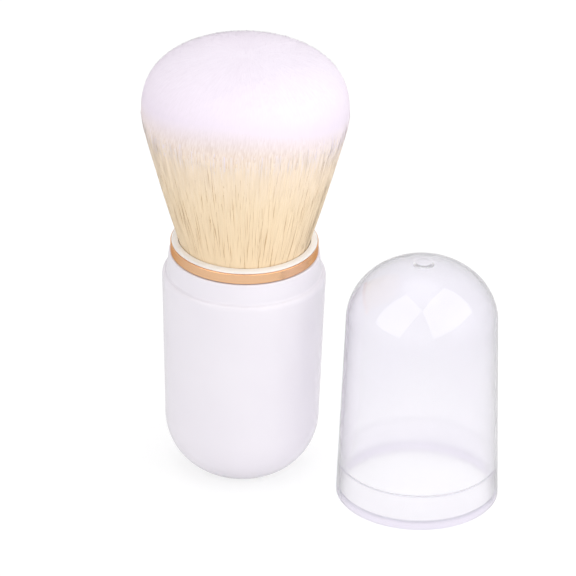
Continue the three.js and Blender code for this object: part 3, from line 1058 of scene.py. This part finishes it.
def clear_material():
    """Clear plastic, tinted by height with painted shade at its steps and foot, and less smooth on its
    inside. It casts no shadow.
    """
    made, tree, shader = new_material("clear_plastic")
    _, _, height = parts_of(tree, object_place(tree))
    tint_and_shade_by_height = ramp(tree, maths(tree, "MULTIPLY", height, 1 / CAP_TOP), CAP_TINTS_AND_SHADE)
    body = drift(tree, noise(tree, CLEAR_DRIFT_SCALE), CLEAR_TONES)
    tree.links.new(mixed(tree, "MULTIPLY", 1, body, tint_and_shade_by_height), shader.inputs["Base Color"])
    more = maths(tree, "MULTIPLY", stored(tree, "inside"), INSIDE_ROUGHNESS - OUTSIDE_ROUGHNESS)
    tree.links.new(maths(tree, "ADD", more, OUTSIDE_ROUGHNESS), shader.inputs["Roughness"])
    shader.inputs["IOR"].default_value = CLEAR_IOR
    shader.inputs["Transmission Weight"].default_value = CLEAR_TRANSMISSION
    shadow_ray = tree.nodes.new("ShaderNodeLightPath").outputs["Is Shadow Ray"]
    surface_mix(tree, shadow_ray, shader, tree.nodes.new("ShaderNodeBsdfTransparent"))
    return made


# Camera, light and floor

def make_camera():
    """The camera that was fitted to the photograph."""
    data = bpy.data.cameras.new("camera")
    data.sensor_width = SENSOR_WIDTH
    data.lens = SENSOR_WIDTH * PIXELS_FOCAL / IMAGE_SIZE
    data.clip_end = CAMERA_REACH
    made = bpy.data.objects.new("camera", data)
    bpy.context.scene.collection.objects.link(made)
    look = Matrix.Rotation(TURN / 4 - CAMERA_DIP, 4, "X") @ Matrix.Rotation(CAMERA_ROLL, 4, "Z")
    made.matrix_world = Matrix.Translation(CAMERA_PLACE) @ look
    bpy.context.scene.camera = made


def make_world():
    """White to the camera, a little greyer in gloss and glass, and a weaker light to all else."""
    world = bpy.data.worlds.new("studio")
    bpy.context.scene.world = world
    world.use_nodes = True
    tree = world.node_tree
    background = tree.nodes["Background"]
    background.inputs["Color"].default_value = (*WHITE, 1)
    camera_ray, gloss_ray, glass_ray = ray_kinds(tree)
    # It is the same all round, but given by direction, because the world is then sampled as a lamp is
    _, _, height = parts_of(tree, tree.nodes.new("ShaderNodeTexCoord").outputs["Generated"])
    level = span(tree, height, (0, 1), (WORLD_SEEN, WORLD_SEEN))
    seen = maths(tree, "MULTIPLY", maths(tree, "MAXIMUM", gloss_ray, glass_ray), level)
    strength = maths(tree, "MAXIMUM", maths(tree, "MAXIMUM", camera_ray, seen), AMBIENT)
    tree.links.new(strength, background.inputs["Strength"])


def make_floor():
    """A white floor that glows to the camera, so that only the object's own shadow is seen on it. Gloss and
    glass see it grey far off, and gloss sees it greyer towards the back."""
    corners = [(-1, -1), (1, -1), (1, 1), (-1, 1)]
    floor = add_object("floor", [(x * FLOOR_REACH, y * FLOOR_REACH, 0) for x, y in corners], [(0, 1, 2, 3)])
    floor.location.z = -FLOOR_DROP
    made, tree, shader = new_material("floor_white")
    tree.nodes.remove(shader)
    diffuse = tree.nodes.new("ShaderNodeBsdfDiffuse")
    diffuse.inputs["Color"].default_value = (*FLOOR_COLOUR, 1)
    glow = tree.nodes.new("ShaderNodeEmission")
    camera_ray, gloss_ray, glass_ray = ray_kinds(tree)
    place = object_place(tree)
    across, back, _ = parts_of(tree, place)
    distance = tree.nodes.new("ShaderNodeVectorMath")
    distance.operation = "LENGTH"
    tree.links.new(place, distance.inputs[0])
    near = span(tree, distance.outputs["Value"], FLOOR_DISTANCES, FLOOR_SEEN)
    behind = span(tree, maths(tree, "MULTIPLY_ADD", across, FLOOR_SLANT, back), FLOOR_DEPTHS, FLOOR_GLOSS)
    by_piece = maths(tree, "MAXIMUM", maths(tree, "MULTIPLY", gloss_ray, behind), glass_ray)
    by_camera = maths(tree, "MULTIPLY", camera_ray, FLOOR_GLOW)
    strength = maths(tree, "MAXIMUM", by_camera, maths(tree, "MULTIPLY", by_piece, near))
    tree.links.new(strength, glow.inputs["Strength"])
    any_ray = maths(tree, "MAXIMUM", camera_ray, maths(tree, "MAXIMUM", gloss_ray, glass_ray))
    surface_mix(tree, maths(tree, "MULTIPLY", any_ray, FLOOR_GLOW_SHARE), diffuse, glow)
    set_material(floor, made)


def lamp(name, direction, distance, side, power):
    """A square lamp that looks at the target and isn't seen itself."""
    data = bpy.data.lights.new(name, "AREA")
    data.size = side
    data.energy = power
    made = bpy.data.objects.new(name, data)
    bpy.context.scene.collection.objects.link(made)
    made.location = LIGHT_TARGET + Vector(direction).normalized() * distance
    made.rotation_euler = Vector(direction).to_track_quat("Z", "Y").to_euler()
    made.visible_camera = False
    made.visible_glossy = False


def card(name, directions):
    """A card that only mirrors and gloss show, between four directions from the target."""
    middle = sum((Vector(d) for d in directions), Vector()).normalized()
    corners = [
        LIGHT_TARGET + Vector(d) * CARD_DISTANCE / Vector(d).dot(middle)
        for d in directions
    ]
    made = add_object(name, corners, [(0, 1, 2, 3)])
    material, tree, shader = new_material(name)
    tree.nodes.remove(shader)
    glow = tree.nodes.new("ShaderNodeEmission")
    glow.inputs["Strength"].default_value = CARD_STRENGTH
    tree.links.new(glow.outputs[0], tree.nodes["Material Output"].inputs["Surface"])
    set_material(made, material)
    made.visible_camera = False
    made.visible_diffuse = False
    made.visible_transmission = False
    made.visible_shadow = False


make_camera()
make_world()
make_floor()
for name, values in LAMPS.items():
    lamp(name, *values)
for name, directions in CARDS.items():
    card(name, directions)

materials = {name: moulded(name, **surface) for name, surface in SURFACES.items()}
materials["clear_plastic"] = clear_material()
materials["bristle_fibre"] = bristle_material()

# The shells, each with the node it replaces, its body, its material and its slot
PIECES = [
    (casing, "casing", "brush", "white_plastic", "white_gloss"),
    (neck_collar, "neck_collar", "brush", "white_plastic", "white_gloss"),
    (sleeve_tube, "sleeve_tube", "sleeve", "white_plastic", "white_gloss"),
    (copper_ring, "copper_ring", "sleeve", "copper_plate", "copper"),
    (sleeve_rim, "sleeve_rim", "sleeve", "rim_plastic_painted_light", "white_gloss"),
    (cap_shell, "cap", "cap", "clear_plastic", "clear_plastic"),
]
for make, node, body, finish, slot in PIECES:
    piece = make()
    set_material(piece, materials[finish])
    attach(piece, body)
    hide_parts(node)

for index in range(TUFT_COUNT):
    piece = tuft(index)
    set_material(piece, materials["bristle_fibre"])
    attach(piece, "brush")
    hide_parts("bristles_" + QUARTERS[index * len(QUARTERS) // TUFT_COUNT])
    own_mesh(piece)

# The hidden nodes keep their solids
HIDDEN = {
    "friction_ring": "rubber",
    "base_weight": "steel",
    "core_screw": "steel",
    "core_post": "inner_plastic",
    "ferrule": "spun_aluminium",
    "glue_plug": "set_resin",
}
for node, finish in HIDDEN.items():
    set_material(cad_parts[node], materials[finish])

bpy.context.scene.view_settings.view_transform = "Standard"
